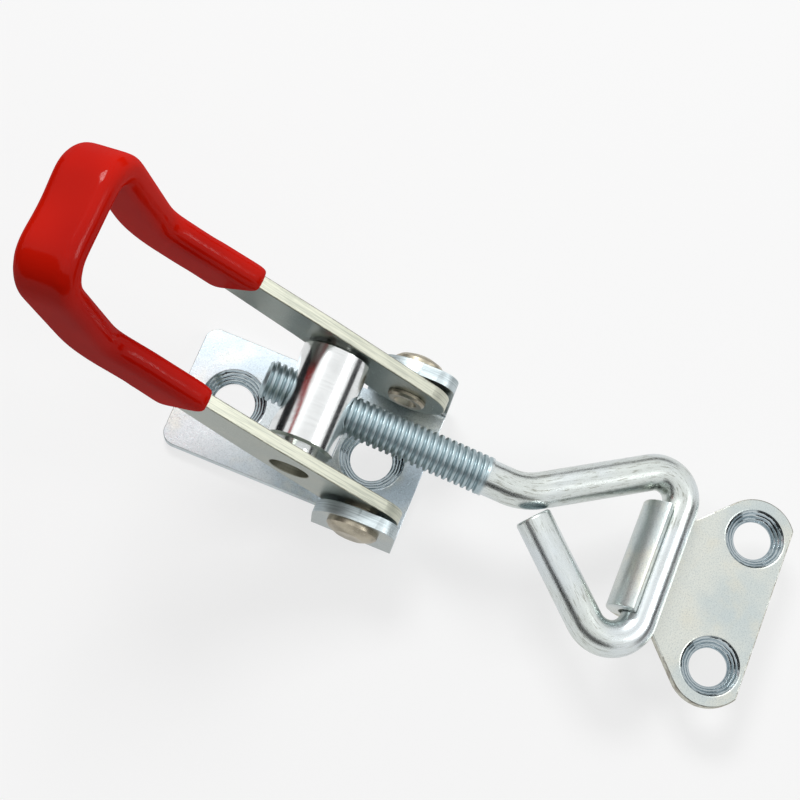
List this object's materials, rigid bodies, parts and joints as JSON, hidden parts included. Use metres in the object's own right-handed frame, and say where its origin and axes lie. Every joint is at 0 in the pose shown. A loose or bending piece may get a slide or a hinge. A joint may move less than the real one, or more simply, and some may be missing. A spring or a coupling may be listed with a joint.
{
  "type": "over centre toggle latch",
  "caption": "Over centre toggle latch: folded base, pivoting handle with dipped grip, cross barrel carrying a threaded hook bolt, and a strike plate curled round the hook.",
  "frame": {"origin": "midway between the two screw holes of the base bracket, on its underside", "axes": "+X from the base towards the strike plate, +Y to the far side, +Z out of the mounting surface"},
  "size_m": [0.1112, 0.0327, 0.0646],
  "materials": {
    "zinc_sheet": "bright zinc plated sheet",
    "turned_zinc": "turned, bright zinc plated",
    "zinc_rod": "bright zinc plated rod, rolled thread",
    "rivet": "pale bronze coloured plating",
    "vinyl": "glossy red dipped vinyl"
  },
  "bodies": {
    "base": {"base_bracket": "zinc_sheet", "rivet_near": "rivet", "rivet_far": "rivet"},
    "handle": {"handle_frame": "zinc_sheet", "grip_sleeve": "vinyl"},
    "cross_barrel": {"barrel": "turned_zinc"},
    "bolt": {"hook_bolt": "zinc_rod"},
    "strike": {"strike_plate": "zinc_sheet"}
  },
  "joints": [
    {"name": "handle_swing", "type": "hinge", "parent": "base", "child": "handle", "pos_m": [0.0132, 0, 0.0117], "axis": [0, 1, 0], "range_deg": [-35, 100]},
    {"name": "barrel_turn", "type": "hinge", "parent": "handle", "child": "cross_barrel", "pos_m": [0.00185, 0.00048, 0.01989], "axis": [0, 1, 0], "range_deg": [-101, 36]},
    {"name": "bolt_screw", "type": "slide", "parent": "cross_barrel", "child": "bolt", "axis": [0.9907, 0, -0.1357], "range_m": [-0.012, 0.003]},
    {"name": "strike_turn", "type": "hinge", "parent": "bolt", "child": "strike", "pos_m": [0.05688, 0.00048, 0.01235], "axis": [0, 1, 0], "range_deg": [-60, 60]}
  ],
  "couplings": [
    {"joint": "barrel_turn", "follows": "handle_swing", "ratio": -1}
  ]
}
